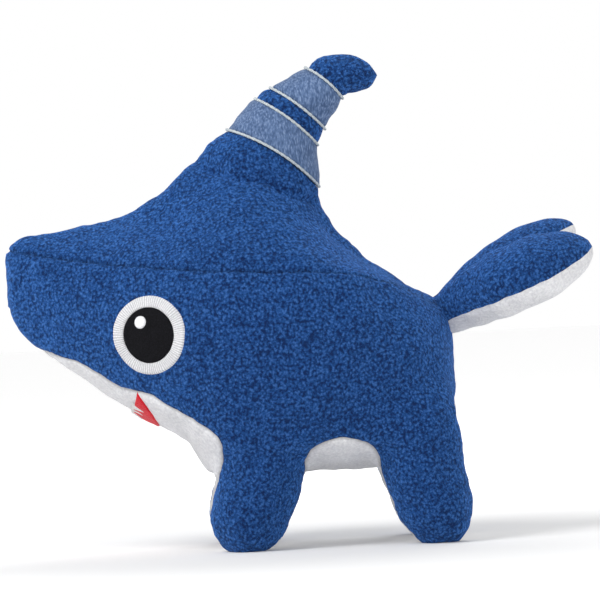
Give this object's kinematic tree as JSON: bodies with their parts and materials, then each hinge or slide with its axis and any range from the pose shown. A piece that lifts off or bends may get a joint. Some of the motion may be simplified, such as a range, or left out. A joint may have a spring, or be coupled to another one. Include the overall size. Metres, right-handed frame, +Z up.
{
  "type": "plush shark",
  "caption": "Standing stuffed plush shark with stubby legs, a banded curled dorsal fin, embroidered eyes and a two-lobed tail on a soft neck.",
  "frame": {"origin": "centre of the object's box in plan, at the level of the soles", "axes": "+Z up, -Y towards the nose, +Y towards the tail, +X the shark's left side"},
  "size_m": [0.106, 0.25, 0.207],
  "materials": {
    "blue_fleece": "pebbled fleece nap",
    "light_blue_plush": "short smooth plush",
    "white_fleece": "short smooth plush",
    "white_satin": "satin stitch",
    "white_felt": "felt",
    "black_felt": "felt",
    "red_felt": "felt",
    "grey_cord": "twisted cord",
    "filling": "polyester fibre"
  },
  "bodies": {
    "torso": {"left_back_panel": "blue_fleece", "right_back_panel": "blue_fleece", "left_side_panel": "blue_fleece", "right_side_panel": "blue_fleece", "chin_panel": "white_fleece", "belly_panel": "white_fleece", "torso_stuffing": "filling", "left_eye_ring": "white_satin", "left_pupil": "black_felt", "left_eye_glint": "white_satin", "right_eye_ring": "white_satin", "right_pupil": "black_felt", "right_eye_glint": "white_satin", "mouth_patch": "red_felt", "teeth": "white_felt"},
    "fin": {"fin_base_sleeve": "blue_fleece", "fin_lower_band": "light_blue_plush", "fin_middle_band": "blue_fleece", "fin_upper_band": "light_blue_plush", "fin_tip": "blue_fleece", "fin_root_stuffing": "filling", "fin_stuffing": "filling", "fin_tip_stuffing": "filling", "fin_lowest_trim": "grey_cord", "fin_lower_trim": "grey_cord", "fin_upper_trim": "grey_cord", "fin_top_trim": "grey_cord"},
    "tail_neck": {"tail_neck": "blue_fleece"},
    "tail": {"tail_left_lobe_upper_panel": "blue_fleece", "tail_left_lobe_lower_panel": "white_fleece", "tail_left_lobe_stuffing": "filling", "tail_right_lobe_upper_panel": "blue_fleece", "tail_right_lobe_lower_panel": "white_fleece", "tail_right_lobe_stuffing": "filling"},
    "front_left_leg": {"front_left_leg_outer": "blue_fleece", "front_left_leg_inner": "white_fleece", "front_left_leg_stuffing": "filling"},
    "front_right_leg": {"front_right_leg_outer": "blue_fleece", "front_right_leg_inner": "white_fleece", "front_right_leg_stuffing": "filling"},
    "hind_left_leg": {"hind_left_leg_outer": "blue_fleece", "hind_left_leg_inner": "white_fleece", "hind_left_leg_stuffing": "filling"},
    "hind_right_leg": {"hind_right_leg_outer": "blue_fleece", "hind_right_leg_inner": "white_fleece", "hind_right_leg_stuffing": "filling"}
  },
  "joints": [
    {"name": "tail_swing", "type": "hinge", "parent": "torso", "child": "tail_neck", "pos_m": [0, 0.062, 0.0955], "axis": [0, 0, 1], "range_deg": [-22, 22], "stiffness_Nm_per_rad": 0.3},
    {"name": "tail_lift", "type": "hinge", "parent": "tail_neck", "child": "tail", "pos_m": [0, 0.062, 0.0955], "axis": [1, 0, 0], "range_deg": [-12, 22], "stiffness_Nm_per_rad": 0.3},
    {"name": "fin_bend", "type": "hinge", "parent": "torso", "child": "fin", "pos_m": [0, -0.014, 0.159], "axis": [0, 0.9397, -0.342], "range_deg": [-15, 15], "stiffness_Nm_per_rad": 0.4},
    {"name": "front_left_leg_swing", "type": "hinge", "parent": "torso", "child": "front_left_leg", "pos_m": [0.029, -0.024, 0.045], "axis": [1, 0, 0], "range_deg": [-15, 15], "stiffness_Nm_per_rad": 0.8},
    {"name": "front_right_leg_swing", "type": "hinge", "parent": "torso", "child": "front_right_leg", "pos_m": [-0.029, -0.024, 0.045], "axis": [1, 0, 0], "range_deg": [-15, 15], "stiffness_Nm_per_rad": 0.8},
    {"name": "hind_left_leg_swing", "type": "hinge", "parent": "torso", "child": "hind_left_leg", "pos_m": [0.029, 0.0485, 0.045], "axis": [1, 0, 0], "range_deg": [-15, 15], "stiffness_Nm_per_rad": 0.8},
    {"name": "hind_right_leg_swing", "type": "hinge", "parent": "torso", "child": "hind_right_leg", "pos_m": [-0.029, 0.0485, 0.045], "axis": [1, 0, 0], "range_deg": [-15, 15], "stiffness_Nm_per_rad": 0.8}
  ]
}
